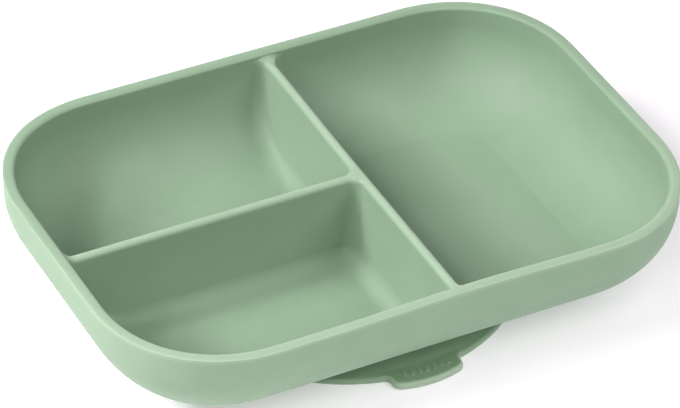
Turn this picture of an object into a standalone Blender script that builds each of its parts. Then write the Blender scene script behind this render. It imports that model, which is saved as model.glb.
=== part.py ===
"""Three-compartment suction bowl for a small child, in moulded silicone.

The bowl stands on the XY plane: X is its long axis, Y its depth (the pull tab points to -Y) and
Z is up. The origin is the middle of the sealing lip, on the table. All lengths are in metres.

The bowl's wall is one closed surface made of stacked level rings. Three compartments hang from one
partition of the opening: their top rings share the crest lines of the two dividers and the inner
line of the wall, so that the compartments, the rim and the outside join without any cutting.
"""

import math

import bmesh
import bpy

MM = 0.001

# Bowl, outside
BOWL_LENGTH = 230.0 * MM
BOWL_DEPTH = 161.0 * MM
BOWL_HEIGHT = 45.0 * MM
CORNER_RADIUS = 49.5 * MM
CORNER_EXPONENT = 2.14
RIM_WIDTH = 4.1 * MM
RIM_OUTER_ROUND = 0.9 * MM
RIM_INNER_ROUND = 0.9 * MM
SIDE_HEIGHT = 6.5 * MM
BELLY_REACH = 39.5 * MM

# Bowl, inside
UNDERSIDE_Z = 4.9 * MM
FLOOR_Z = 7.2 * MM
CREST_Z = 42.0 * MM
SWEEP_HEIGHT = 30.0 * MM
SWEEP_REACH = 34.0 * MM

# Dividers
LONG_DIVIDER_X = 7.2 * MM
SHORT_DIVIDER_Y = -0.5 * MM
CREST_HALF_WIDTH = 1.95 * MM
CREST_DEPTH = 2.1 * MM
DIVIDER_DRAFT = math.tan(math.radians(3.0))
FLOOR_FILLET = 6.5 * MM
WALL_JOIN_RADIUS = 4.5 * MM
SHORT_END_RADIUS = 3.0 * MM
DIVIDER_JOIN_RADIUS = 4.2 * MM
JOIN_RADIUS_GROWTH = 2.5 * MM

# Suction base
GAP = 0.3 * MM
HUB_RADIUS = 34.0 * MM
HUB_CHAMFER = 0.4 * MM
HUB_BOTTOM_Z = 3.1 * MM
RECESS_DEPTH = 0.5 * MM
SKIRT_CLEARANCE = 0.6 * MM
DOME_EDGE_Z = 1.3 * MM
LIP_INNER_RADIUS = 60.0 * MM
LIP_RADIUS = 67.0 * MM
LIP_INNER_Z = 3.3 * MM
LIP_SHOULDER_RADIUS = 64.3 * MM
LIP_SHOULDER_Z = 3.0 * MM
LIP_EDGE_Z = 2.0 * MM
LIP_EDGE_FALL_Z = 1.2 * MM
LIP_TOP_CHAMFER = 0.6 * MM
LIP_UNDER_CHAMFER = 0.4 * MM
SEAL_LIFT = 1.2 * MM
SEAL_INNER_RADIUS = 62.0 * MM
CONE_SLOPE = math.tan(math.radians(22.0))

# Pull tab
TAB_HINGE_Y = -61.5 * MM
TAB_HINGE_Z = 3.25 * MM
TAB_END_Y = -73.4 * MM
TAB_BULGE = 1.4 * MM
TAB_ROOT_WIDTH = 30.0 * MM
TAB_END_WIDTH = 28.2 * MM
TAB_CORNER_RADIUS = 3.5 * MM
TAB_UNDERSIDE_Z = 0.3 * MM
TAB_TOP_Z = 3.0 * MM
TAB_EDGE_ROUND = 0.8 * MM
NOTCH_LENGTH = 12.0 * MM

# Fineness
WALL_CORNER_STEPS = 8
JOIN_CORNER_STEPS = 4
CREST_STEPS = 3
SWEEP_STEPS = 8
ROUND_STEPS = 2
TURN_STEPS = 64
SKIRT_STEPS = 8

SILICONE_COLOUR = (0.330, 0.480, 0.335, 1.0)


def clear_scene():
    for thing in list(bpy.data.objects):
        bpy.data.objects.remove(thing, do_unlink=True)


def silicone(name, shade=1.0):
    """A matt silicone, its colour scaled by shade."""
    material = bpy.data.materials.new(name)
    material.use_nodes = True
    shader = material.node_tree.nodes["Principled BSDF"]
    red, green, blue, alpha = SILICONE_COLOUR
    shader.inputs["Base Color"].default_value = (red * shade, green * shade, blue * shade, alpha)
    shader.inputs["Roughness"].default_value = 0.55
    shader.inputs["Metallic"].default_value = 0.0
    return material


def add_object(name, bm, material, origin=(0.0, 0.0, 0.0)):
    """Turn bm, drawn in world space, into a smooth-shaded object whose origin is given."""
    bmesh.ops.remove_doubles(bm, verts=bm.verts, dist=0.002 * MM)
    bmesh.ops.recalc_face_normals(bm, faces=bm.faces)
    bmesh.ops.translate(bm, verts=bm.verts, vec=[-value for value in origin])
    mesh = bpy.data.meshes.new(name)
    bm.to_mesh(mesh)
    bm.free()
    mesh.shade_smooth()
    mesh.set_sharp_from_angle(angle=math.radians(35.0))
    mesh.materials.append(material)
    thing = bpy.data.objects.new(name, mesh)
    thing.location = origin
    bpy.context.scene.collection.objects.link(thing)
    return thing


def skin_rows(bm, upper, lower):
    """Join two closed rows of equally many vertices with quads."""
    for index, vertex in enumerate(upper):
        following = (index + 1) % len(upper)
        bm.faces.new((vertex, upper[following], lower[following], lower[index]))


def skin(bm, rings):
    """Join closed rings of equal length with quads, and return their vertices."""
    rows = [[bm.verts.new(point) for point in ring] for ring in rings]
    for upper, lower in zip(rows, rows[1:]):
        skin_rows(bm, upper, lower)
    return rows


# ---------------------------------------------------------------- compartments

def wall_corner(radius):
    """Quarter of a slightly squared circle, from +X to +Y, about its centre."""
    points = []
    for step in range(WALL_CORNER_STEPS + 1):
        angle = 0.5 * math.pi * step / WALL_CORNER_STEPS
        along = max(math.cos(angle), 0.0) ** (2.0 / CORNER_EXPONENT)
        across = max(math.sin(angle), 0.0) ** (2.0 / CORNER_EXPONENT)
        points.append((radius * along, radius * across))
    return points


def join_corner(radius, square):
    """Quarter circle from +X to +Y, or the square corner around it with as many points."""
    points = []
    for step in range(JOIN_CORNER_STEPS + 1):
        turn = step / JOIN_CORNER_STEPS
        angle = 0.5 * math.pi * turn
        if square:
            points.append((radius * min(1.0, 2.0 - 2.0 * turn), radius * min(1.0, 2.0 * turn)))
        else:
            points.append((radius * math.cos(angle), radius * math.sin(angle)))
    return points


def rectangle_ring(low, high, corners, sides, z):
    """Level ring of a rectangle with rounded corners, anticlockwise from its lower left corner.

    corners are four lists of points about each corner's centre, drawn for the upper right corner,
    and sides are four lists of fractions, where each straight side has points of its own.
    """
    places = ((low[0], low[1]), (high[0], low[1]), (high[0], high[1]), (low[0], high[1]))
    ring = []
    for index, (place, corner) in enumerate(zip(places, corners)):
        radius = corner[0][0]
        centre_x = place[0] + radius * (1.0 if index in (0, 3) else -1.0)
        centre_y = place[1] + radius * (1.0 if index in (0, 1) else -1.0)
        turn = 0.5 * math.pi * (index - 2)
        cosine, sine = round(math.cos(turn)), round(math.sin(turn))
        arc = [(centre_x + cosine * x - sine * y, centre_y + sine * x + cosine * y, z) for x, y in corner]
        if ring:
            ring += between(ring[-1], arc[0], sides[index - 1])
        ring += arc
    ring += between(ring[-1], ring[0], sides[3])
    return ring


def between(start, end, fractions):
    return [tuple(a + (b - a) * part for a, b in zip(start, end)) for part in fractions]


def spread(count):
    """Even fractions that split a side into count stretches."""
    return [step / count for step in range(1, count)]


def wall_inset(z):
    """How far the compartments' outer side has swept in from the rim's inner line at height z."""
    share = min(1.0, max(0.0, (FLOOR_Z + SWEEP_HEIGHT - z) / SWEEP_HEIGHT))
    return SWEEP_REACH * (1.0 - math.sqrt(1.0 - share * share))


def divider_inset(z):
    """How far a divider's side stands from its crest line at height z."""
    below = CREST_Z - z
    if below < CREST_DEPTH:
        rise = 1.0 - below / CREST_DEPTH
        return CREST_HALF_WIDTH * math.sqrt(1.0 - rise * rise)
    inset = CREST_HALF_WIDTH + (below - CREST_DEPTH) * DIVIDER_DRAFT
    above_floor = z - FLOOR_Z
    if above_floor < FLOOR_FILLET:
        inset += FLOOR_FILLET - math.sqrt(FLOOR_FILLET ** 2 - (FLOOR_FILLET - above_floor) ** 2)
    return inset


def compartment_levels():
    """Heights of a compartment's rings, closer together on the crest and near the floor."""
    levels = []
    for step in range(CREST_STEPS + 1):
        angle = 0.5 * math.pi * step / CREST_STEPS
        levels.append(CREST_Z - CREST_DEPTH * (1.0 - math.cos(angle)))
    for step in range(1, SWEEP_STEPS + 1):
        angle = 0.5 * math.pi * step / SWEEP_STEPS
        levels.append(FLOOR_Z + SWEEP_HEIGHT * (1.0 - math.sin(angle)))
    return levels


class Compartment:
    """One compartment: the rectangle of its crest lines, and which of its sides are dividers.

    dividers holds the sides in the order front, right, back, left; corner_sizes the corners in the
    order front left, front right, back right, back left, with None at the bowl's own corners.
    """

    def __init__(self, low, high, dividers, corner_sizes, sides):
        self.low = low
        self.high = high
        self.dividers = dividers
        self.corner_sizes = corner_sizes
        self.sides = sides

    def ring(self, z, square=False):
        """Ring at height z; square joins are for the crest lines, which compartments share."""
        wall = wall_inset(z)
        divider = divider_inset(z)
        front, right, back, left = (divider if is_divider else wall for is_divider in self.dividers)
        low = (self.low[0] + left, self.low[1] + front)
        high = (self.high[0] - right, self.high[1] - back)
        growth = JOIN_RADIUS_GROWTH * (CREST_Z - z) / (CREST_Z - FLOOR_Z)
        growth += max(0.0, CREST_HALF_WIDTH - divider)
        corners = []
        for size in self.corner_sizes:
            if size is None:
                corners.append(wall_corner(CORNER_RADIUS - RIM_WIDTH - wall))
            else:
                corners.append(join_corner(size + growth, square))
        return rectangle_ring(low, high, corners, self.sides, z)

    def crest_ring(self):
        """The compartment's share of the crest lines and of the rim's inner line."""
        return self.ring(CREST_Z, square=True)


def make_compartments():
    """Right, back left and front left compartments, with shared points on the crest lines."""
    half_x = 0.5 * BOWL_LENGTH - RIM_WIDTH
    half_y = 0.5 * BOWL_DEPTH - RIM_WIDTH
    wall_join, divider_join = WALL_JOIN_RADIUS, DIVIDER_JOIN_RADIUS
    back_left = Compartment(
        (-half_x, SHORT_DIVIDER_Y), (LONG_DIVIDER_X, half_y),
        (True, True, False, False), (SHORT_END_RADIUS, divider_join, wall_join, None),
        [spread(4), spread(3), spread(3), spread(2)])
    front_left = Compartment(
        (-half_x, -half_y), (LONG_DIVIDER_X, SHORT_DIVIDER_Y),
        (False, True, True, False), (None, wall_join, divider_join, SHORT_END_RADIUS),
        [spread(3), spread(3), spread(4), spread(2)])
    start_y = half_y - wall_join - CREST_HALF_WIDTH
    crest = {round(y, 7) for part in (back_left, front_left) for x, y, z in part.crest_ring()
             if abs(x - LONG_DIVIDER_X) < 0.01 * MM and abs(y) < start_y - 0.01 * MM}
    crest_fractions = [(start_y - y) / (2.0 * start_y) for y in sorted(crest, reverse=True)]
    right = Compartment(
        (LONG_DIVIDER_X, -half_y), (half_x, half_y),
        (False, False, False, True), (wall_join, None, None, wall_join),
        [spread(3), spread(3), spread(3), crest_fractions])
    return right, back_left, front_left


def on_wall(point):
    """Whether a point of a top ring is on the rim's inner line, not inside it on a crest line."""
    x, y = point[0], point[1]
    half_x = 0.5 * BOWL_LENGTH - RIM_WIDTH
    half_y = 0.5 * BOWL_DEPTH - RIM_WIDTH
    slack = 0.01 * MM
    on_long = abs(x - LONG_DIVIDER_X) < slack and abs(y) < half_y - slack
    on_short = abs(y - SHORT_DIVIDER_Y) < slack and -half_x + slack < x < LONG_DIVIDER_X + slack
    return not (on_long or on_short)


def rim_inner_line(compartments):
    """The rim's inner line, anticlockwise, as pairs of a point of the core and an arm from it."""
    points = {(round(x, 6), round(y, 6)) for part in compartments
              for x, y, z in part.crest_ring() if on_wall((x, y))}
    core_x = 0.5 * BOWL_LENGTH - CORNER_RADIUS
    core_y = 0.5 * BOWL_DEPTH - CORNER_RADIUS
    line = []
    for x, y in sorted(points, key=lambda point: math.atan2(point[1] / BOWL_DEPTH, point[0] / BOWL_LENGTH)):
        middle_x = max(-core_x, min(core_x, x))
        middle_y = max(-core_y, min(core_y, y))
        line.append(((middle_x, middle_y), (x - middle_x, y - middle_y)))
    return line


def offset_ring(line, outward, z):
    """The rim's inner line moved outward (or inward, where negative), at height z."""
    ring = []
    for middle, arm in line:
        length = math.hypot(arm[0], arm[1])
        stretch = (length + outward) / length
        ring.append((middle[0] + arm[0] * stretch, middle[1] + arm[1] * stretch, z))
    return ring


def shell_section():
    """Outward distance and height along the wall: up the inside, over the rim, down the outside."""
    section = [(0.0, CREST_Z)]
    for step in range(ROUND_STEPS + 1):
        angle = 0.5 * math.pi * step / ROUND_STEPS
        out = RIM_INNER_ROUND * (1.0 - math.cos(angle))
        section.append((out, BOWL_HEIGHT - RIM_INNER_ROUND * (1.0 - math.sin(angle))))
    for step in range(ROUND_STEPS + 1):
        angle = 0.5 * math.pi * step / ROUND_STEPS
        out = RIM_WIDTH - RIM_OUTER_ROUND * (1.0 - math.sin(angle))
        section.append((out, BOWL_HEIGHT - RIM_OUTER_ROUND * (1.0 - math.cos(angle))))
    belly_top = BOWL_HEIGHT - SIDE_HEIGHT
    for step in range(SWEEP_STEPS + 1):
        angle = 0.5 * math.pi * step / SWEEP_STEPS
        out = RIM_WIDTH - BELLY_REACH * (1.0 - math.cos(angle))
        section.append((out, belly_top - (belly_top - UNDERSIDE_Z) * math.sin(angle)))
    return section


def circle_ring(radius, z):
    """Level circle about the Z axis, with its points where a turned piece has them."""
    angles = [2.0 * math.pi * step / TURN_STEPS for step in range(TURN_STEPS)]
    return [(radius * math.cos(angle), radius * math.sin(angle), z) for angle in angles]


def loop_edges(row):
    """Edges of a closed row of joined vertices."""
    pairs = zip(row, row[1:] + row[:1])
    return [next(edge for edge in one.link_edges if other in edge.verts) for one, other in pairs]


def make_bowl():
    compartments = make_compartments()
    line = rim_inner_line(compartments)
    bm = bmesh.new()
    for part in compartments:
        rows = skin(bm, [part.crest_ring()] + [part.ring(z) for z in compartment_levels()])
        bm.faces.new(rows[-1])
    shell = skin(bm, [offset_ring(line, out, z) for out, z in shell_section()])
    recess_radius = HUB_RADIUS + GAP
    recess = skin(bm, [circle_ring(recess_radius, UNDERSIDE_Z + depth) for depth in (0.0, RECESS_DEPTH)])
    bmesh.ops.bridge_loops(bm, edges=loop_edges(shell[-1]) + loop_edges(recess[0]))
    bm.faces.new(recess[-1])
    return add_object("bowl", bm, silicone("bowl_silicone"))


# ---------------------------------------------------------------- suction base

def turned(name, profile, material):
    """Solid of revolution about Z of a closed profile of (radius, z) points."""
    bm = bmesh.new()
    verts = [bm.verts.new((radius, 0.0, z)) for radius, z in profile]
    edges = [bm.edges.new((start, end)) for start, end in zip(verts, verts[1:])]
    if profile[0][0] > 0.0:
        edges.append(bm.edges.new((verts[-1], verts[0])))
    bmesh.ops.spin(bm, geom=verts + edges, cent=(0.0, 0.0, 0.0), axis=(0.0, 0.0, 1.0),
                   angle=2.0 * math.pi, steps=TURN_STEPS, use_merge=True)
    bmesh.ops.remove_doubles(bm, verts=bm.verts, dist=0.002 * MM)
    bmesh.ops.dissolve_degenerate(bm, edges=bm.edges, dist=0.002 * MM)
    return add_object(name, bm, material)


def make_hub():
    """Disc bonded into the recess under the bowl's floor."""
    top = UNDERSIDE_Z + RECESS_DEPTH - GAP
    profile = [
        (0.0, top),
        (HUB_RADIUS - HUB_CHAMFER, top),
        (HUB_RADIUS, top - HUB_CHAMFER),
        (HUB_RADIUS, HUB_BOTTOM_Z),
        (0.0, HUB_BOTTOM_Z),
    ]
    return turned("suction_hub", profile, silicone("hub_silicone", 0.94))


def belly_height(x, y):
    """Height of the bowl's outer surface above the point (x, y) of the table."""
    core_x = 0.5 * BOWL_LENGTH - CORNER_RADIUS
    core_y = 0.5 * BOWL_DEPTH - CORNER_RADIUS
    from_core = math.hypot(max(0.0, abs(x) - core_x), max(0.0, abs(y) - core_y))
    inset = min(CORNER_RADIUS - from_core, BELLY_REACH)
    belly_top = BOWL_HEIGHT - SIDE_HEIGHT
    sine = math.sqrt(1.0 - ((BELLY_REACH - inset) / BELLY_REACH) ** 2)
    return belly_top - (belly_top - UNDERSIDE_Z) * sine


def make_skirt():
    """Domed ring from the hub to the lip: a cone outside, cut off where the bowl hangs over it."""
    inner = HUB_RADIUS + GAP
    outer = LIP_INNER_RADIUS - GAP

    def top_height(x, y):
        cone = LIP_INNER_Z + CONE_SLOPE * (LIP_INNER_RADIUS - math.hypot(x, y))
        return min(cone, belly_height(x, y) - SKIRT_CLEARANCE)

    def bottom_height(x, y):
        fall = (math.hypot(x, y) - inner) / (outer - inner)
        return HUB_BOTTOM_Z - (HUB_BOTTOM_Z - DOME_EDGE_Z) * fall * fall

    def face_rings(height):
        """Rings from the hub out to the lip, on the face with this height."""
        radii = [inner + (outer - inner) * step / SKIRT_STEPS for step in range(SKIRT_STEPS + 1)]
        return [[(x, y, height(x, y)) for x, y, z in circle_ring(radius, 0.0)] for radius in radii]

    bm = bmesh.new()
    rows = skin(bm, face_rings(top_height) + face_rings(bottom_height)[::-1])
    skin_rows(bm, rows[-1], rows[0])
    return add_object("suction_skirt", bm, silicone("skirt_silicone", 0.94))


def make_lip():
    """Sealing ring with a flat underside, notched at the front for the pull tab."""
    profile = [
        (LIP_INNER_RADIUS, LIP_INNER_Z),
        (LIP_SHOULDER_RADIUS, LIP_SHOULDER_Z),
        (LIP_RADIUS - LIP_TOP_CHAMFER, LIP_EDGE_Z),
        (LIP_RADIUS, LIP_EDGE_FALL_Z),
        (LIP_RADIUS - LIP_UNDER_CHAMFER, 0.0),
        (SEAL_INNER_RADIUS, 0.0),
        (LIP_INNER_RADIUS, SEAL_LIFT),
    ]
    lip = turned("suction_lip", profile, silicone("lip_silicone", 0.97))
    notch = bmesh.new()
    bmesh.ops.create_cube(notch, size=1.0)
    width = TAB_ROOT_WIDTH + 2.0 * GAP
    bmesh.ops.scale(notch, verts=notch.verts, vec=(width, NOTCH_LENGTH, NOTCH_LENGTH))
    bmesh.ops.translate(notch, verts=notch.verts, vec=(0.0, TAB_HINGE_Y - 0.5 * NOTCH_LENGTH, 0.0))
    cutter = add_object("notch_cutter", notch, silicone("cutter"))
    cutter.hide_render = True
    cutter.display_type = "WIRE"
    cut = lip.modifiers.new("tab_notch", "BOOLEAN")
    cut.operation = "DIFFERENCE"
    cut.solver = "EXACT"
    cut.object = cutter
    return lip


def tab_outline():
    """Plan of the tab, anticlockwise: square root, shoulders, rounded corners and a bulged end."""
    half_root = 0.5 * TAB_ROOT_WIDTH
    half_end = 0.5 * TAB_END_WIDTH
    shoulder_y = -math.sqrt(LIP_RADIUS ** 2 - half_root ** 2)
    corner_x = half_end - TAB_CORNER_RADIUS
    corner_y = TAB_END_Y + TAB_BULGE + TAB_CORNER_RADIUS
    right = []
    for share in (0.0, 0.35, 0.7):
        right.append((corner_x * share, TAB_END_Y + TAB_BULGE * share * share))
    for degrees in (-75.0, -57.5, -40.0, -22.5, -5.0):
        angle = math.radians(degrees)
        right.append((corner_x + TAB_CORNER_RADIUS * math.cos(angle),
                      corner_y + TAB_CORNER_RADIUS * math.sin(angle)))
    right.append((half_end, shoulder_y - (half_root - half_end)))
    right.append((half_root, shoulder_y))
    right.append((half_root, TAB_HINGE_Y - GAP))
    left = [(-x, y) for x, y in reversed(right[1:])]
    return right + left


def make_tab():
    """Pad that turns up about its root; its origin is on the flex line."""
    outline = tab_outline()
    bm = bmesh.new()
    base = bm.faces.new([bm.verts.new((x, y, TAB_UNDERSIDE_Z)) for x, y in outline])
    raised = bmesh.ops.extrude_face_region(bm, geom=[base])
    top = [item for item in raised["geom"] if isinstance(item, bmesh.types.BMVert)]
    bmesh.ops.translate(bm, verts=top, vec=(0.0, 0.0, TAB_TOP_Z - TAB_UNDERSIDE_Z))
    crown = [edge for edge in bm.edges if all(vertex in top for vertex in edge.verts)]
    bmesh.ops.bevel(bm, geom=crown, offset=TAB_EDGE_ROUND, segments=2, profile=0.5, affect="EDGES")
    origin = (0.0, TAB_HINGE_Y, TAB_HINGE_Z)
    return add_object("release_tab", bm, silicone("tab_silicone", 1.05), origin)


def main():
    clear_scene()
    make_bowl()
    make_hub()
    make_skirt()
    make_lip()
    make_tab()


main()
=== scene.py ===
import math

import bmesh
import bpy
from mathutils import Matrix, Vector


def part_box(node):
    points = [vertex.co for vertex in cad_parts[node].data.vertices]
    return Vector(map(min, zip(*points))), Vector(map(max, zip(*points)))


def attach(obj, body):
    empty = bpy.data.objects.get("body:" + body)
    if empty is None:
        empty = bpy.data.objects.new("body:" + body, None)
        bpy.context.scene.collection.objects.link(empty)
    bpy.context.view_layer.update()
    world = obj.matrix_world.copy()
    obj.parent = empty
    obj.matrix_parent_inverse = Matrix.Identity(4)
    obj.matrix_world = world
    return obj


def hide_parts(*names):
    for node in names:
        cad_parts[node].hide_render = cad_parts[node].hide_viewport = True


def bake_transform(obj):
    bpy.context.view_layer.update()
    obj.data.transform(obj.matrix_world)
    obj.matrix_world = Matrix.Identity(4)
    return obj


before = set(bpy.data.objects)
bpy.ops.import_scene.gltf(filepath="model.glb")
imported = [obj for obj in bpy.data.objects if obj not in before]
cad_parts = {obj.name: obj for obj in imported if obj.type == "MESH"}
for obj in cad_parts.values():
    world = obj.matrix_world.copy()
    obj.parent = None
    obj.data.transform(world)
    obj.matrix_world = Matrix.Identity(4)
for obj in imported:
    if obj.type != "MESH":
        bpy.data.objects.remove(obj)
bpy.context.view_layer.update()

MM = 0.001
SLACK = 0.01 * MM  # how close two places are when they count as the same
MERGE_DISTANCE = 0.002 * MM

# Places that the frame gives
BOWL_LOW, BOWL_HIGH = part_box("bowl")
HUB_LOW, HUB_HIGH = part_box("suction_hub")
LIP_LOW, LIP_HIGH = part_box("suction_lip")
TAB_LOW, TAB_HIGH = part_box("release_tab")

# Bowl: its main shape
CORNER_RADIUS = 49.5 * MM
CORNER_EXPONENT = 2.14
RIM_WIDTH = 4.2 * MM
SIDE_HEIGHT = 6.5 * MM
BELLY_REACH = 39.5 * MM
FLOOR_Z = 7.2 * MM
CREST_Z = 42.0 * MM
SWEEP_TOP_Z = FLOOR_Z + 30.0 * MM
SWEEP_REACH = 34.0 * MM
LONG_DIVIDER_X = 7.2 * MM
SHORT_DIVIDER_Y = -0.5 * MM
CREST_HALF_WIDTH = 1.95 * MM
CREST_DEPTH = 2.1 * MM
DIVIDER_DRAFT = math.tan(math.radians(3.0))
FLOOR_FILLET = 6.5 * MM
WALL_JOIN_RADIUS = 4.5 * MM
SHORT_END_RADIUS = 3.0 * MM
DIVIDER_JOIN_RADIUS = 4.2 * MM
JOIN_RADIUS_GROWTH = 2.5 * MM
HUB_GAP = 0.3 * MM
RECESS_DEPTH = 0.5 * MM

# Moulded details that only the fine surface has
RIM_INNER_ROUND = 2.1 * MM
RIM_INNER_DROP = 1.15 * MM
RIM_OUTER_ROUND = 0.9 * MM
RIM_OUTER_DROP = 0.22 * MM
FLASH_REACH = 0.16 * MM
FLASH_THICKNESS = 0.28 * MM
FLASH_PROFILE = ((0.5, 0.0), (0.9, 0.12), (1.0, 0.4), (0.9, 0.65), (0.3, 0.9), (0.0, 1.1))
SWEEP_OVERRUN = 0.4 * MM
CREASE_WIDTH = 0.5 * MM
CREST_END_RISE = 1.8 * MM
CREST_END_LENGTH = 3.6 * MM
CREST_END_DEPTH = 5.0 * MM
CREST_END_ASIDE = 4.0 * MM
FRONT_BOW = 1.25 * MM
FRONT_BOW_X = 11.0 * MM
FRONT_BOW_REACH = 57.0 * MM
FRONT_BOW_START = 0.3  # share of the way from the bowl's middle to its front
DIVIDER_LEAN = 1.0 * MM
DIVIDER_LEAN_REACH = 30.0 * MM
FLEX_START = 0.3  # share of the bowl's height below which its walls stay straight

# Painted light on edges, from 0 to 1: painted highlights on the rim, its flash line and the divider crests
RIM_PAINTED_HIGHLIGHT = 0.36
RIM_HIGHLIGHT_BACK = -0.3  # shares of the way to the front where the rim's painted highlight starts and is full, so that it fades towards the back
RIM_HIGHLIGHT_FRONT = 0.8
FLASH_PAINTED_HIGHLIGHT = 0.7
FLASH_BACK_SHARE = 0.3  # share of the flash line's painted highlight that is left at the back
CREST_PAINTED_HIGHLIGHT = 0.45
CREST_HIGHLIGHT_ASIDE = 0.6 * MM
CREST_HIGHLIGHT_LOW = 1.7 * MM  # depths below a crest where its painted highlight starts and is full
CREST_HIGHLIGHT_HIGH = 0.2 * MM

# Fineness of the bowl's surface
WALL_CORNER_STEPS = 44
JOIN_CORNER_STEPS = 18
SIDE_STEPS = 26
CREST_STEPS = 9
SWEEP_STEPS = 44
BELLY_STEPS = 40
ROUND_STEPS = 8
RECESS_STEPS = 192
QUARTERS = (0.25, 0.5, 0.75, 1.0)
SIDE_ROWS = (0.08, 0.3, 0.55, 0.8)  # shares of the way down the straight side


# ---------------------------------------------------------------- mesh helpers

def skin(bm, rings):
    """Join closed rings of equal length with quads, and return their vertices."""
    rows = [[bm.verts.new(point) for point in ring] for ring in rings]
    for upper, lower in zip(rows, rows[1:]):
        for index, vertex in enumerate(upper):
            following = (index + 1) % len(upper)
            bm.faces.new((vertex, upper[following], lower[following], lower[index]))
    return rows


def loop_edges(row):
    """Edges of a closed row of joined vertices."""
    pairs = zip(row, row[1:] + row[:1])
    return [next(edge for edge in one.link_edges if other in edge.verts) for one, other in pairs]


def add_piece(name, bm, material):
    """Turn bm into a smooth-shaded object with the material, with coincident points merged."""
    bmesh.ops.remove_doubles(bm, verts=bm.verts, dist=MERGE_DISTANCE)
    bmesh.ops.recalc_face_normals(bm, faces=bm.faces)
    mesh = bpy.data.meshes.new(name)
    bm.to_mesh(mesh)
    bm.free()
    mesh.shade_smooth()
    mesh.materials.append(material)
    piece = bpy.data.objects.new(name, mesh)
    bpy.context.scene.collection.objects.link(piece)
    return piece


def piece_mesh():
    """Empty mesh and its layer of painted light, from 0 to 1: painted highlights and bounce light on edges,
    mixed into the colour.
    """
    bm = bmesh.new()
    return bm, bm.verts.layers.float.new("painted_light")


def smooth(low, high, value):
    """0 below low, 1 above high, and a smooth step between."""
    part = min(1.0, max(0.0, (value - low) / (high - low)))
    return part * part * (3.0 - 2.0 * part)


def soft_max(one, other, width):
    """The larger of two heights, rounded over width where they cross."""
    overlap = max(0.0, width - abs(one - other)) / width
    return max(one, other) + 0.25 * width * overlap * overlap


# ---------------------------------------------------------------- bowl

def wall_corner(radius):
    """Quarter of a slightly squared circle, from +X to +Y, about its centre."""
    points = []
    for step in range(WALL_CORNER_STEPS + 1):
        angle = 0.5 * math.pi * step / WALL_CORNER_STEPS
        along = max(math.cos(angle), 0.0) ** (2.0 / CORNER_EXPONENT)
        across = max(math.sin(angle), 0.0) ** (2.0 / CORNER_EXPONENT)
        points.append((radius * along, radius * across))
    return points


def join_corner(radius, square):
    """Quarter circle from +X to +Y, or the square corner around it with as many points."""
    points = []
    for step in range(JOIN_CORNER_STEPS + 1):
        turn = step / JOIN_CORNER_STEPS
        angle = 0.5 * math.pi * turn
        if square:
            points.append((radius * min(1.0, 2.0 - 2.0 * turn), radius * min(1.0, 2.0 * turn)))
        else:
            points.append((radius * math.cos(angle), radius * math.sin(angle)))
    return points


def between(start, end, fractions):
    """Points on the straight line from start to end, at the fractions."""
    return [tuple(a + (b - a) * part for a, b in zip(start, end)) for part in fractions]


def spread(count):
    """Even fractions that split a side into count stretches."""
    return [step / count for step in range(1, count)]


def rectangle_ring(low, high, corners, sides, z):
    """Level ring of a rectangle with rounded corners, anticlockwise from its lower left corner.

    corners are four lists of points about each corner's centre, drawn for the upper right corner,
    and sides are four lists of fractions, where each straight side has points of its own.
    """
    places = ((low[0], low[1]), (high[0], low[1]), (high[0], high[1]), (low[0], high[1]))
    ring = []
    for index, (place, corner) in enumerate(zip(places, corners)):
        radius = corner[0][0]
        centre_x = place[0] + radius * (1.0 if index in (0, 3) else -1.0)
        centre_y = place[1] + radius * (1.0 if index in (0, 1) else -1.0)
        turn = 0.5 * math.pi * (index - 2)
        cosine, sine = round(math.cos(turn)), round(math.sin(turn))
        arc = [(centre_x + cosine * x - sine * y, centre_y + sine * x + cosine * y, z) for x, y in corner]
        if ring:
            ring += between(ring[-1], arc[0], sides[index - 1])
        ring += arc
    ring += between(ring[-1], ring[0], sides[3])
    return ring


def wall_inset(z):
    """How far the compartments' outer side has swept in from the rim's inner line at height z."""
    height = SWEEP_TOP_Z - FLOOR_Z + SWEEP_OVERRUN
    share = max(0.0, SWEEP_TOP_Z - z) / height
    return SWEEP_REACH * (1.0 - math.sqrt(1.0 - share * share))


def divider_inset(z):
    """How far a divider's side stands from its crest line at height z."""
    below = CREST_Z - z
    if below < CREST_DEPTH:
        rise = 1.0 - below / CREST_DEPTH
        return CREST_HALF_WIDTH * math.sqrt(1.0 - rise * rise)
    inset = CREST_HALF_WIDTH + (below - CREST_DEPTH) * DIVIDER_DRAFT
    above_floor = z - FLOOR_Z
    if above_floor < FLOOR_FILLET:
        inset += FLOOR_FILLET - math.sqrt(FLOOR_FILLET ** 2 - (FLOOR_FILLET - above_floor) ** 2)
    return inset


def compartment_levels():
    """Heights of a compartment's rings, closer together on the crest and near the floor."""
    levels = []
    for step in range(CREST_STEPS + 1):
        angle = 0.5 * math.pi * step / CREST_STEPS
        levels.append(CREST_Z - CREST_DEPTH * (1.0 - math.cos(angle)))
    crest_bottom = levels[-1]
    levels += [crest_bottom + (SWEEP_TOP_Z - crest_bottom) * part for part in QUARTERS]
    for step in range(1, SWEEP_STEPS + 1):
        angle = 0.5 * math.pi * step / SWEEP_STEPS
        levels.append(FLOOR_Z + (SWEEP_TOP_Z - FLOOR_Z) * (1.0 - math.sin(angle)))
    return levels


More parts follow.
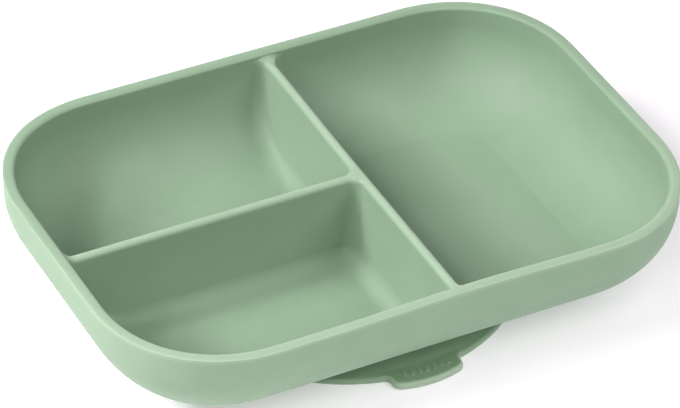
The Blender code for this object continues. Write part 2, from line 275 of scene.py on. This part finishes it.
class Compartment:
    """One compartment: the rectangle of its crest lines, and which of its sides are dividers.

    dividers holds the sides in the order front, right, back, left; corner_sizes the corners in the
    order front left, front right, back right, back left, with None at the bowl's own corners.
    """

    def __init__(self, low, high, dividers, corner_sizes, sides):
        self.low = low
        self.high = high
        self.dividers = dividers
        self.corner_sizes = corner_sizes
        self.sides = sides

    def ring(self, z, extra=0.0, square=False):
        """Ring at height z, moved further in by extra; square joins are for the crest lines."""
        wall = wall_inset(z) + extra
        divider = divider_inset(z) + extra
        front, right, back, left = (divider if is_divider else wall for is_divider in self.dividers)
        low = (self.low[0] + left, self.low[1] + front)
        high = (self.high[0] - right, self.high[1] - back)
        growth = JOIN_RADIUS_GROWTH * (CREST_Z - z) / (CREST_Z - FLOOR_Z)
        growth += max(0.0, CREST_HALF_WIDTH - divider)
        corners = []
        for size in self.corner_sizes:
            if size is None:
                corners.append(wall_corner(CORNER_RADIUS - RIM_WIDTH - wall))
            else:
                corners.append(join_corner(size + growth, square))
        return rectangle_ring(low, high, corners, self.sides, z)

    def crest_ring(self):
        """The compartment's share of the crest lines and of the rim's inner line."""
        return self.ring(CREST_Z, square=True)

    def rings(self):
        """All rings from the crest to the floor, with a margin of flat floor inside the last one."""
        rings = [self.crest_ring()] + [self.ring(z) for z in compartment_levels()]
        return rings + [self.ring(FLOOR_Z, CREASE_WIDTH)]


def make_compartments():
    """Right, back left and front left compartments, with shared points on the crest lines."""
    half_x = BOWL_HIGH.x - RIM_WIDTH
    half_y = BOWL_HIGH.y - RIM_WIDTH
    wall_join, divider_join = WALL_JOIN_RADIUS, DIVIDER_JOIN_RADIUS
    side = spread(SIDE_STEPS)
    back_left = Compartment(
        (-half_x, SHORT_DIVIDER_Y), (LONG_DIVIDER_X, half_y),
        (True, True, False, False), (SHORT_END_RADIUS, divider_join, wall_join, None),
        [side, side, side, side])
    front_left = Compartment(
        (-half_x, -half_y), (LONG_DIVIDER_X, SHORT_DIVIDER_Y),
        (False, True, True, False), (None, wall_join, divider_join, SHORT_END_RADIUS),
        [side, side, side, side])
    start_y = half_y - wall_join - CREST_HALF_WIDTH
    crest = {round(y, 7) for part in (back_left, front_left) for x, y, z in part.crest_ring()
             if abs(x - LONG_DIVIDER_X) < SLACK and abs(y) < start_y - SLACK}
    crest_fractions = [(start_y - y) / (2.0 * start_y) for y in sorted(crest, reverse=True)]
    right = Compartment(
        (LONG_DIVIDER_X, -half_y), (half_x, half_y),
        (False, False, False, True), (wall_join, None, None, wall_join),
        [side, side, side, crest_fractions])
    return right, back_left, front_left


def on_wall(point):
    """Whether the point (x, y) of a top ring is on the rim's inner line, not on a crest line."""
    x, y = point
    half_x = BOWL_HIGH.x - RIM_WIDTH - SLACK
    half_y = BOWL_HIGH.y - RIM_WIDTH - SLACK
    on_long = abs(x - LONG_DIVIDER_X) < SLACK and abs(y) < half_y
    on_short = abs(y - SHORT_DIVIDER_Y) < SLACK and -half_x < x < LONG_DIVIDER_X + SLACK
    return not (on_long or on_short)


def rim_inner_line(compartments):
    """The rim's inner line, anticlockwise, as pairs of a point of the core and an arm from it."""
    points = {(round(x, 6), round(y, 6)) for part in compartments
              for x, y, z in part.crest_ring() if on_wall((x, y))}
    core_x = BOWL_HIGH.x - CORNER_RADIUS
    core_y = BOWL_HIGH.y - CORNER_RADIUS

    def turn(point):
        """Angle about the bowl's middle, with the bowl's length and depth made equal."""
        return math.atan2(point[1] / BOWL_HIGH.y, point[0] / BOWL_HIGH.x)

    line = []
    for x, y in sorted(points, key=turn):
        middle_x = max(-core_x, min(core_x, x))
        middle_y = max(-core_y, min(core_y, y))
        line.append(((middle_x, middle_y), (x - middle_x, y - middle_y)))
    return line


def offset_ring(line, outward, z):
    """The rim's inner line moved outward (or inward, where negative), at height z."""
    ring = []
    for middle, arm in line:
        length = math.hypot(arm[0], arm[1])
        stretch = (length + outward) / length
        ring.append((middle[0] + arm[0] * stretch, middle[1] + arm[1] * stretch, z))
    return ring


def shell_section():
    """Outward distance and height along the wall: up the inside, over the rim, down the outside."""
    top = BOWL_HIGH.z
    section = [(0.0, CREST_Z), (0.0, 0.5 * (CREST_Z + top - RIM_INNER_DROP))]
    for step in range(ROUND_STEPS + 1):
        angle = 0.5 * math.pi * step / ROUND_STEPS
        drop = RIM_INNER_DROP * (1.0 - math.sin(angle))
        section.append((RIM_INNER_ROUND * (1.0 - math.cos(angle)), top - drop))
    flat_end = RIM_WIDTH - RIM_OUTER_ROUND
    for share in QUARTERS[:-1]:
        section.append((RIM_INNER_ROUND + (flat_end - RIM_INNER_ROUND) * share, top))
    for step in range(1, ROUND_STEPS + 1):
        share = step / ROUND_STEPS
        section.append((flat_end + RIM_OUTER_ROUND * share, top - RIM_OUTER_DROP * share * share))
    for reach, drop in FLASH_PROFILE:
        section.append((RIM_WIDTH + FLASH_REACH * reach, top - RIM_OUTER_DROP - FLASH_THICKNESS * drop))
    belly_top = top - SIDE_HEIGHT
    side_top = section[-1][1]
    for share in SIDE_ROWS:
        section.append((RIM_WIDTH, side_top + (belly_top - side_top) * share))
    for step in range(BELLY_STEPS + 1):
        angle = 0.5 * math.pi * step / BELLY_STEPS
        out = RIM_WIDTH - BELLY_REACH * (1.0 - math.cos(angle))
        section.append((out, belly_top - (belly_top - BOWL_LOW.z) * math.sin(angle)))
    return section


def circle_ring(radius, z, steps):
    """Level circle about the Z axis."""
    angles = [2.0 * math.pi * step / steps for step in range(steps)]
    return [(radius * math.cos(angle), radius * math.sin(angle), z) for angle in angles]


def rise_at_ends(bm):
    """Turn the crest of each divider up where it meets the bowl's wall."""
    half_x = BOWL_HIGH.x - RIM_WIDTH
    half_y = BOWL_HIGH.y - RIM_WIDTH
    top = BOWL_HIGH.z - RIM_INNER_DROP
    for vertex in bm.verts:
        x, y, z = vertex.co
        for to_wall, aside in ((half_y - abs(y), x - LONG_DIVIDER_X), (half_x + x, y - SHORT_DIVIDER_Y)):
            near = max(0.0, 1.0 - max(0.0, to_wall) / CREST_END_LENGTH)
            if near == 0.0 or to_wall < -SLACK:
                continue
            below = smooth(CREST_Z - CREST_END_DEPTH, CREST_Z - CREST_DEPTH, z)
            above = min(1.0, max(0.0, (top - z) / (top - CREST_Z)))
            beside = 1.0 - smooth(CREST_HALF_WIDTH, CREST_HALF_WIDTH + CREST_END_ASIDE, abs(aside))
            vertex.co.z += CREST_END_RISE * near * near * below * above * beside


def flex(bm):
    """Bend the soft walls: the front wall in by the long divider, and that divider's back end right."""
    for vertex in bm.verts:
        x, y, z = vertex.co
        height = smooth(FLEX_START * BOWL_HIGH.z, BOWL_HIGH.z, z)
        along = min(1.0, abs(x - FRONT_BOW_X) / FRONT_BOW_REACH)
        bow = 0.5 * FRONT_BOW * (1.0 + math.cos(math.pi * along))
        vertex.co.y += bow * height * smooth(FRONT_BOW_START, 1.0, y / BOWL_LOW.y)
        beside = 1.0 - smooth(0.0, DIVIDER_LEAN_REACH, abs(x - LONG_DIVIDER_X))
        vertex.co.x += DIVIDER_LEAN * smooth(0.0, 1.0, y / BOWL_HIGH.y) * beside * height


def crest_painted_highlight(x, y, z):
    """Painted highlight of a point of a compartment: only the crowns of the dividers get it."""
    aside = abs(x - LONG_DIVIDER_X)
    if x < LONG_DIVIDER_X:
        aside = min(aside, abs(y - SHORT_DIVIDER_Y))
    on_crest = 1.0 - smooth(CREST_HALF_WIDTH, CREST_HALF_WIDTH + CREST_HIGHLIGHT_ASIDE, aside)
    return CREST_PAINTED_HIGHLIGHT * on_crest * smooth(CREST_Z - CREST_HIGHLIGHT_LOW, CREST_Z - CREST_HIGHLIGHT_HIGH, z)


def shell_painted_highlight(out, y, z):
    """Painted highlight of a point of the wall: on the rim's top and its flash line, full at the front
    only.
    """
    to_front = smooth(RIM_HIGHLIGHT_BACK, RIM_HIGHLIGHT_FRONT, y / BOWL_LOW.y)
    if out > RIM_WIDTH:
        return FLASH_PAINTED_HIGHLIGHT * (FLASH_BACK_SHARE + (1.0 - FLASH_BACK_SHARE) * to_front)
    if z < BOWL_HIGH.z - RIM_INNER_DROP:
        return 0.0
    return RIM_PAINTED_HIGHLIGHT * to_front * smooth(0.0, 0.5 * RIM_INNER_ROUND, out)


def make_bowl(material):
    """Bowl with its dividers, in one moulding, and the recess that the hub is bonded into."""
    compartments = make_compartments()
    line = rim_inner_line(compartments)
    bm, painted_light = piece_mesh()
    for part in compartments:
        rows = skin(bm, part.rings())
        bm.faces.new(rows[-1])
    # Painted highlights on the divider crests
    for vertex in bm.verts:
        vertex[painted_light] = crest_painted_highlight(*vertex.co)
    section = shell_section()
    shell = skin(bm, [offset_ring(line, out, z) for out, z in section])
    # Painted highlight on the rim's top and its flash line, fading towards the back
    for row, (out, z) in zip(shell, section):
        for vertex in row:
            vertex[painted_light] = shell_painted_highlight(out, vertex.co.y, z)
    recess = skin(bm, [circle_ring(HUB_HIGH.x + HUB_GAP, BOWL_LOW.z + depth, RECESS_STEPS)
                       for depth in (0.0, RECESS_DEPTH)])
    bmesh.ops.bridge_loops(bm, edges=loop_edges(shell[-1]) + loop_edges(recess[0]))
    bm.faces.new(recess[-1])
    rise_at_ends(bm)
    flex(bm)
    return add_piece("bowl_moulding", bm, material)


# ---------------------------------------------------------------- suction base

CONE_SLOPE = math.tan(math.radians(22.0))
SHOULDER_RADIUS = 64.3 * MM
SHOULDER_Z = 3.0 * MM
SKIRT_OUTER_RADIUS = 59.7 * MM
SKIRT_CLEARANCE = 0.5 * MM
LIP_CLEARANCE = 1.6 * MM
LIP_INNER_RADIUS = 57.5 * MM
SEAL_INNER_RADIUS = 62.0 * MM
DOME_EDGE_Z = 1.3 * MM
DOME_EDGE_POWER = 1.3
DOME_OVERLAP = 3.0 * MM
HUB_CHAMFER = 0.4 * MM
CUP_EDGE_ROUND = 0.3 * MM
CUP_SINK = 0.05 * MM
CUP_POLE_RADIUS = 2.0 * MM
CUP_STEPS = 28
TURN_STEPS = 256

TAB_EDGE_RADIUS = 40.0 * MM
TAB_HALF_WIDTH = 14.1 * MM
TAB_CORNER_RADIUS = 3.5 * MM
TAB_SHOULDER_RADIUS = 2.2 * MM
TOP_ROUND = 0.85 * MM
BOTTOM_ROUND = 0.5 * MM
PAD_SIDE_START = 13.5 * MM
PAD_SIDE_END = 18.0 * MM
PAD_FOLD = 0.25 * MM
UNDERSIDE_LIFT_WIDTH = 1.0 * MM
UNDERSIDE_GAP = 0.1 * MM  # between the lip's inner part and the cup's hollow
UNDERSIDE_GAP_WIDTH = 0.4 * MM
OUTLINE_STEP = 0.26 * MM
FINE_OUTLINE_END = -60.0  # degrees; further round, the lip's outline needs fewer points
LIP_STEP = 1.6 * MM
TOP_ROWS = 44
BOTTOM_ROWS = 20

# Painted bounce light on the outer edge of the lip and tab, from 0 to 1
LIP_PAINTED_LIGHT = 0.45
TAB_PAINTED_LIGHT_START = 0.5 * MM  # beyond the lip's outer radius
TAB_PAINTED_LIGHT_END = 2.0 * MM
NEXT_ROW_PAINTED_LIGHT = 0.6  # share of the edge's painted bounce light that the row of points inside it has

RIB_COUNT = 7
RIB_PITCH = 2.9 * MM
RIB_LENGTH = 3.2 * MM
RIB_WIDTH = 1.3 * MM
RIB_HEIGHT = 0.45 * MM
RIB_MIDDLE_RADIUS = 67.7 * MM
RIB_TOP_SHARE = 0.25  # how far from a rib's middle line its top and its foot end, by its width
RIB_FOOT_SHARE = 0.6


def belly_height(x, y):
    """Height of the bowl's outer surface above the point (x, y) of the table."""
    core_x = BOWL_HIGH.x - CORNER_RADIUS
    core_y = BOWL_HIGH.y - CORNER_RADIUS
    from_core = math.hypot(max(0.0, abs(x) - core_x), max(0.0, abs(y) - core_y))
    inset = min(CORNER_RADIUS - from_core, BELLY_REACH)
    belly_top = BOWL_HIGH.z - SIDE_HEIGHT
    sine = math.sqrt(1.0 - ((BELLY_REACH - inset) / BELLY_REACH) ** 2)
    return belly_top - (belly_top - BOWL_LOW.z) * sine


def cone_height(x, y):
    """Height of the cone that the suction base's upper face follows."""
    return SHOULDER_Z + CONE_SLOPE * (SHOULDER_RADIUS - math.hypot(x, y))


def dome_height(radius):
    """Height of the hollow underside: level under the hub, then down to the sealing face."""
    inner = HUB_HIGH.x
    if radius < inner:
        return HUB_LOW.z
    if radius < SKIRT_OUTER_RADIUS:
        fall = (radius - inner) / (SKIRT_OUTER_RADIUS - inner)
        return HUB_LOW.z - (HUB_LOW.z - DOME_EDGE_Z) * fall * fall
    share = max(0.0, (SEAL_INNER_RADIUS - radius) / (SEAL_INNER_RADIUS - SKIRT_OUTER_RADIUS))
    return DOME_EDGE_Z * share ** DOME_EDGE_POWER


def make_cup(material):
    """Hub and skirt: a domed disc bonded into the recess under the bowl's floor."""
    hub = HUB_HIGH.x
    edge = SKIRT_OUTER_RADIUS - CUP_EDGE_ROUND

    def draped_ring(radius, drop=0.0):
        """Circle that lies on the cup's upper face: the cone, cut off where the bowl hangs over it."""
        ring = []
        for x, y, z in circle_ring(radius, 0.0, TURN_STEPS):
            top = min(cone_height(x, y) - CUP_SINK, belly_height(x, y) - SKIRT_CLEARANCE)
            ring.append((x, y, top - drop))
        return ring

    rings = [circle_ring(CUP_POLE_RADIUS, HUB_HIGH.z, TURN_STEPS),
             circle_ring(hub - HUB_CHAMFER, HUB_HIGH.z, TURN_STEPS),
             circle_ring(hub, HUB_HIGH.z - HUB_CHAMFER, TURN_STEPS)]
    rings += [draped_ring(hub + (edge - hub) * step / CUP_STEPS) for step in range(CUP_STEPS + 1)]
    rings.append(draped_ring(SKIRT_OUTER_RADIUS, CUP_EDGE_ROUND))
    inner = hub - DOME_OVERLAP
    for step in range(CUP_STEPS + 1):
        radius = SKIRT_OUTER_RADIUS + (inner - SKIRT_OUTER_RADIUS) * step / CUP_STEPS
        rings.append(circle_ring(radius, dome_height(radius), TURN_STEPS))
    rings.append(circle_ring(CUP_POLE_RADIUS, HUB_LOW.z, TURN_STEPS))
    bm = piece_mesh()[0]
    rows = skin(bm, rings)
    bm.faces.new(rows[0])
    bm.faces.new(rows[-1])
    return add_piece("suction_cup", bm, material)


def arc_points(centre, radius, start, end, step_length, inside=True):
    """Points of an arc from the angle start to the angle end, in degrees, with their outward normals.

    inside says whether the arc's centre is inside the outline.
    """
    steps = max(2, math.ceil(math.radians(abs(end - start)) * radius / step_length))
    points = []
    for step in range(steps + 1):
        angle = math.radians(start + (end - start) * step / steps)
        normal = (math.cos(angle), math.sin(angle))
        point = (centre[0] + radius * normal[0], centre[1] + radius * normal[1])
        if not inside:
            normal = (-normal[0], -normal[1])
        points.append((point, normal))
    return points


def base_outline():
    """Plan of the lip with its tab, anticlockwise from the middle of the tab's outer edge."""
    lip = LIP_HIGH.x
    edge_centre = (0.0, TAB_LOW.y + TAB_EDGE_RADIUS)
    corner_x = TAB_HALF_WIDTH - TAB_CORNER_RADIUS
    corner_drop = math.sqrt((TAB_EDGE_RADIUS - TAB_CORNER_RADIUS) ** 2 - corner_x ** 2)
    corner = (corner_x, edge_centre[1] - corner_drop)
    edge_end = -math.degrees(math.atan2(corner_drop, corner_x))
    shoulder_x = TAB_HALF_WIDTH + TAB_SHOULDER_RADIUS
    shoulder = (shoulder_x, -math.sqrt((lip + TAB_SHOULDER_RADIUS) ** 2 - shoulder_x ** 2))
    shoulder_end = math.degrees(math.atan2(-shoulder[1], -shoulder[0]))
    lip_start = math.degrees(math.atan2(shoulder[1], shoulder[0]))
    right = arc_points(edge_centre, TAB_EDGE_RADIUS, -90.0, edge_end, OUTLINE_STEP)
    right += arc_points(corner, TAB_CORNER_RADIUS, edge_end, 0.0, OUTLINE_STEP)[1:]
    right += arc_points(shoulder, TAB_SHOULDER_RADIUS, 180.0, shoulder_end, OUTLINE_STEP, inside=False)
    right += arc_points((0.0, 0.0), lip, lip_start, FINE_OUTLINE_END, 2.0 * OUTLINE_STEP)[1:]
    right += arc_points((0.0, 0.0), lip, FINE_OUTLINE_END, 90.0, LIP_STEP)[1:]
    left = [((-x, y), (-a, b)) for (x, y), (a, b) in reversed(right[1:-1])]
    return right + left


def rib_height(x, y):
    """Height of the grip ribs above the tab, short bars that point at the bowl's middle."""
    radius = math.hypot(x, y)
    along = x * RIB_MIDDLE_RADIUS / radius
    nearest = max(-(RIB_COUNT // 2), min(RIB_COUNT // 2, round(along / RIB_PITCH)))
    across = abs(along - nearest * RIB_PITCH)
    endwise = abs(radius - RIB_MIDDLE_RADIUS) - 0.5 * (RIB_LENGTH - RIB_WIDTH)
    reach = math.hypot(across, max(0.0, endwise))
    return RIB_HEIGHT * (1.0 - smooth(RIB_TOP_SHARE * RIB_WIDTH, RIB_FOOT_SHARE * RIB_WIDTH, reach))


def lip_top(x, y):
    """Height of the lip's upper face: a cone, with a level pad at the tab and ribs on the pad."""
    height = cone_height(x, y)
    if y < 0.0:
        pad = soft_max(height, TAB_HIGH.z, PAD_FOLD)
        height += (pad - height) * (1.0 - smooth(PAD_SIDE_START, PAD_SIDE_END, abs(x)))
        if abs(x) < PAD_SIDE_START:
            height += rib_height(x, y)
    return min(height, belly_height(x, y) - LIP_CLEARANCE)


def lip_bottom(x, y):
    """Height of the lip's underside: flat to seal, hollow inside, and clear of the table at the tab."""
    radius = math.hypot(x, y)
    if radius > SEAL_INNER_RADIUS:
        return TAB_LOW.z * smooth(LIP_HIGH.x - UNDERSIDE_LIFT_WIDTH, LIP_HIGH.x, radius) if y < 0.0 else 0.0
    gap = UNDERSIDE_GAP * smooth(0.0, UNDERSIDE_GAP_WIDTH, SKIRT_OUTER_RADIUS - radius)
    return dome_height(radius) + gap


def rounding(radius, inset):
    """How far a rounded edge has fallen below its face at the inset from its outline."""
    return radius - math.sqrt(max(0.0, radius ** 2 - (radius - inset) ** 2))


def edge_painted_light(vertex):
    """Painted bounce light of a point of the outer edge: full on the tab, and less around the lip."""
    x, y, z = vertex.co
    on_tab = smooth(LIP_HIGH.x + TAB_PAINTED_LIGHT_START, LIP_HIGH.x + TAB_PAINTED_LIGHT_END, math.hypot(x, y))
    return LIP_PAINTED_LIGHT + (1.0 - LIP_PAINTED_LIGHT) * on_tab


def make_lip(material):
    """Sealing lip with its pull tab, in one moulding."""
    outline = base_outline()
    inner = []
    for (x, y), _ in outline:
        stretch = LIP_INNER_RADIUS / math.hypot(x, y)
        inner.append((x * stretch, y * stretch))

    def inset_ring(inset):
        """The outline moved inward."""
        return [(x - inset * a, y - inset * b) for (x, y), (a, b) in outline]

    def inward(start, count):
        """Plan rings from start to the inner circle."""
        plans = []
        for row in range(1, count + 1):
            part = row / count
            plans.append([(x + (u - x) * part, y + (v - y) * part) for (x, y), (u, v) in zip(start, inner)])
        return plans

    rings = []
    for plan in reversed(inward(inset_ring(TOP_ROUND), TOP_ROWS)):
        rings.append([(x, y, lip_top(x, y)) for x, y in plan])
    for step in range(ROUND_STEPS + 1):
        inset = TOP_ROUND * (1.0 - math.sin(0.5 * math.pi * step / ROUND_STEPS))
        fall = rounding(TOP_ROUND, inset)
        rings.append([(x, y, lip_top(x, y) - fall) for x, y in inset_ring(inset)])
    for step in range(ROUND_STEPS + 1):
        inset = BOTTOM_ROUND * (1.0 - math.cos(0.5 * math.pi * step / ROUND_STEPS))
        rise = rounding(BOTTOM_ROUND, inset)
        rings.append([(x, y, lip_bottom(x, y) + rise) for x, y in inset_ring(inset)])
    for plan in inward(inset_ring(BOTTOM_ROUND), BOTTOM_ROWS):
        rings.append([(x, y, lip_bottom(x, y)) for x, y in plan])
    bm, painted_light = piece_mesh()
    rows = skin(bm, rings)
    # Painted bounce light on the outer edge of the lip and tab, and less on the row inside it
    for row in rows[TOP_ROWS:TOP_ROWS + 2 * (ROUND_STEPS + 1)]:
        for vertex in row:
            vertex[painted_light] = edge_painted_light(vertex)
    for vertex in rows[TOP_ROWS - 1]:
        vertex[painted_light] = NEXT_ROW_PAINTED_LIGHT * edge_painted_light(vertex)
    for index, vertex in enumerate(rows[-1]):
        following = (index + 1) % len(rows[-1])
        bm.faces.new((vertex, rows[-1][following], rows[0][following], rows[0][index]))
    return add_piece("suction_lip_and_tab", bm, material)


# ---------------------------------------------------------------- materials

BOWL_COLOUR = (0.2145, 0.320, 0.211)
# Painted shade: the base is the bowl's sage silicone made darker and greener, standing in for shade and
# green bounce light under the bowl
BASE_SHADED_COLOUR = (0.190, 0.308, 0.184)
# Painted light: the pale green that the painted_light attribute mixes in for painted highlights and bounce
# light on edges
PAINTED_LIGHT_COLOUR = (0.325, 0.435, 0.315, 1.0)
FLOOR_COLOUR = (0.76, 0.76, 0.76, 1.0)
FLOOR_GLOW = 0.28
WHITE = (1.0, 1.0, 1.0, 1.0)

# Patterns of the silicone: scale of the noise, and what it varies
CLOUD_SCALE = 28.0
CLOUD_SHADES = (0.97, 1.03)
GLOSS_SCALE = 90.0
GLOSS_ROUGHNESS = (0.54, 0.66)
GRAIN_SCALE = 2600.0
GRAIN_DEPTH = 0.02 * MM
WAVE_SCALE = 70.0
WAVE_DEPTH = 0.12 * MM


def silicone(name, seed, tint):
    """Matt moulded silicone: faint cloudiness, painted light on marked edges, a fine satin grain and uneven
    gloss.
    """
    material = bpy.data.materials.new(name)
    material.use_nodes = True
    nodes = material.node_tree.nodes
    links = material.node_tree.links
    shader = nodes["Principled BSDF"]
    shader.inputs["IOR"].default_value = 1.41
    shader.inputs["Subsurface Weight"].default_value = 0.6
    shader.inputs["Subsurface Radius"].default_value = (1.0, 1.1, 0.9)
    shader.inputs["Subsurface Scale"].default_value = 2.5 * MM
    place = nodes.new("ShaderNodeTexCoord")

    def shaded(shade):
        """The tint, lighter or darker."""
        return [value * shade for value in tint] + [1.0]

    def noise(scale, detail, offset):
        """Noise fixed to the piece, around 0.5."""
        mapping = nodes.new("ShaderNodeMapping")
        mapping.inputs["Location"].default_value = (seed + offset, seed - offset, 0.5 * seed)
        links.new(place.outputs["Object"], mapping.inputs["Vector"])
        texture = nodes.new("ShaderNodeTexNoise")
        texture.inputs["Scale"].default_value = scale
        texture.inputs["Detail"].default_value = detail
        texture.inputs["Roughness"].default_value = 0.55
        links.new(mapping.outputs["Vector"], texture.inputs["Vector"])
        return texture.outputs["Fac"]

    def ramp(factor, low, high):
        """The noise spread from low to high."""
        mapper = nodes.new("ShaderNodeMapRange")
        mapper.inputs["From Min"].default_value = 0.3
        mapper.inputs["From Max"].default_value = 0.7
        mapper.inputs["To Min"].default_value = low
        mapper.inputs["To Max"].default_value = high
        links.new(factor, mapper.inputs["Value"])
        return mapper.outputs["Result"]

    colour = nodes.new("ShaderNodeMix")
    colour.data_type = "RGBA"
    colour.inputs["A"].default_value = shaded(CLOUD_SHADES[0])
    colour.inputs["B"].default_value = shaded(CLOUD_SHADES[1])
    links.new(ramp(noise(CLOUD_SCALE, detail=4.0, offset=0.3), 0.0, 1.0), colour.inputs["Factor"])
    # Painted light: the attribute mixes the pale colour into highlights on the rim and crests and bounce
    # light on the lip's edge
    painted_light = nodes.new("ShaderNodeAttribute")
    painted_light.attribute_name = "painted_light"
    edges = nodes.new("ShaderNodeMix")
    edges.data_type = "RGBA"
    edges.inputs["B"].default_value = PAINTED_LIGHT_COLOUR
    links.new(painted_light.outputs["Fac"], edges.inputs["Factor"])
    links.new(colour.outputs["Result"], edges.inputs["A"])
    links.new(edges.outputs["Result"], shader.inputs["Base Color"])
    gloss = ramp(noise(GLOSS_SCALE, detail=3.0, offset=0.7), *GLOSS_ROUGHNESS)
    links.new(gloss, shader.inputs["Roughness"])

    grain = nodes.new("ShaderNodeBump")
    grain.inputs["Strength"].default_value = 0.25
    grain.inputs["Distance"].default_value = GRAIN_DEPTH
    links.new(noise(GRAIN_SCALE, detail=2.0, offset=0.1), grain.inputs["Height"])
    wave = nodes.new("ShaderNodeBump")
    wave.inputs["Strength"].default_value = 0.35
    wave.inputs["Distance"].default_value = WAVE_DEPTH
    links.new(noise(WAVE_SCALE, detail=2.0, offset=0.9), wave.inputs["Height"])
    links.new(grain.outputs["Normal"], wave.inputs["Normal"])
    links.new(wave.outputs["Normal"], shader.inputs["Normal"])
    return material


def floor_material():
    """Matt white that glows faintly, so that the floor stays pale in the soft light."""
    material = bpy.data.materials.new("floor_white")
    material.use_nodes = True
    shader = material.node_tree.nodes["Principled BSDF"]
    shader.inputs["Base Color"].default_value = FLOOR_COLOUR
    shader.inputs["Roughness"].default_value = 0.7
    shader.inputs["Emission Color"].default_value = WHITE
    shader.inputs["Emission Strength"].default_value = FLOOR_GLOW
    return material


# ---------------------------------------------------------------- studio

CAMERA_AZIMUTH = math.radians(-29.003)
CAMERA_ELEVATION = math.radians(38.084)
CAMERA_ROLL = math.radians(2.383)
CAMERA_DISTANCE = 1477.4 * MM
CAMERA_LENS = 216.15
CAMERA_AIM = (-0.95 * MM, -12.1 * MM)
WORLD_STRENGTH = 0.01
FLOOR_REACH = 3.0


def add_camera():
    """Camera at the product view: it looks from the front left corner down into the bowl."""
    sine, cosine = math.sin(CAMERA_AZIMUTH), math.cos(CAMERA_AZIMUTH)
    back = Vector((sine * math.cos(CAMERA_ELEVATION), -cosine * math.cos(CAMERA_ELEVATION),
                   math.sin(CAMERA_ELEVATION)))
    level = Vector((cosine, sine, 0.0))
    upright = back.cross(level)
    right = math.cos(CAMERA_ROLL) * level + math.sin(CAMERA_ROLL) * upright
    up = math.cos(CAMERA_ROLL) * upright - math.sin(CAMERA_ROLL) * level
    rim_middle = Vector((0.0, 0.0, BOWL_HIGH.z))
    place = rim_middle + back * CAMERA_DISTANCE + right * CAMERA_AIM[0] + up * CAMERA_AIM[1]
    data = bpy.data.cameras.new("product_camera")
    data.lens = CAMERA_LENS
    data.sensor_width = 36.0
    data.clip_end = 20.0
    camera = bpy.data.objects.new("product_camera", data)
    camera.matrix_world = Matrix.Translation(place) @ Matrix((right, up, back)).transposed().to_4x4()
    bpy.context.scene.collection.objects.link(camera)
    bpy.context.scene.camera = camera


LIGHT_COLOUR = (1.0, 0.94, 1.0)

LIGHTS = (
    # name, azimuth and elevation in degrees, distance, size, watts
    ("key_low", -110.0, 35.0, 1.6, 0.3, 13.4),
    ("key_high", -110.0, 50.0, 1.6, 0.3, 13.7),
    ("key_left", -90.0, 40.0, 1.2, 0.3, 6.8),
    ("front_near", -30.0, 45.0, 0.7, 0.4, 1.9),
    ("front_fill", 30.0, 35.0, 1.6, 0.9, 11.1),
    ("right_fill", 45.0, 60.0, 1.6, 0.9, 4.7),
    ("back_rim", 150.0, 12.0, 1.6, 0.9, 10.3),
)


def add_light(name, azimuth, elevation, distance, size, watts):
    """Square softbox aimed at the bowl; azimuth 0 is at the front and 90 at the right."""
    turn, rise = math.radians(azimuth), math.radians(elevation)
    away = Vector((math.sin(turn) * math.cos(rise), -math.cos(turn) * math.cos(rise), math.sin(rise)))
    data = bpy.data.lights.new(name, "AREA")
    data.size = size
    data.energy = watts
    data.color = LIGHT_COLOUR
    light = bpy.data.objects.new(name, data)
    light.location = away * distance
    light.rotation_euler = away.to_track_quat("Z", "Y").to_euler()
    bpy.context.scene.collection.objects.link(light)


def add_world():
    """Faint white light from all sides."""
    world = bpy.data.worlds.new("studio")
    world.use_nodes = True
    background = world.node_tree.nodes["Background"]
    background.inputs["Color"].default_value = WHITE
    background.inputs["Strength"].default_value = WORLD_STRENGTH
    bpy.context.scene.world = world


def add_floor():
    """Pale floor that the bowl stands on."""
    bm = bmesh.new()
    bmesh.ops.create_grid(bm, x_segments=1, y_segments=1, size=FLOOR_REACH)
    floor = add_piece("studio_floor", bm, floor_material())


add_camera()
add_floor()
add_world()
for light in LIGHTS:
    add_light(*light)
bpy.context.scene.view_settings.view_transform = "Standard"

bowl_silicone = silicone("bowl_silicone_satin", seed=3.0, tint=BOWL_COLOUR)
base_silicone = silicone("base_silicone_shaded_satin", seed=11.0, tint=BASE_SHADED_COLOUR)

bowl = make_bowl(bowl_silicone)
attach(bowl, "bowl")
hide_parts("bowl")

cup = make_cup(base_silicone)
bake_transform(cup)
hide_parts("suction_hub", "suction_skirt")

lip = make_lip(base_silicone)
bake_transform(lip)
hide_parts("suction_lip", "release_tab")
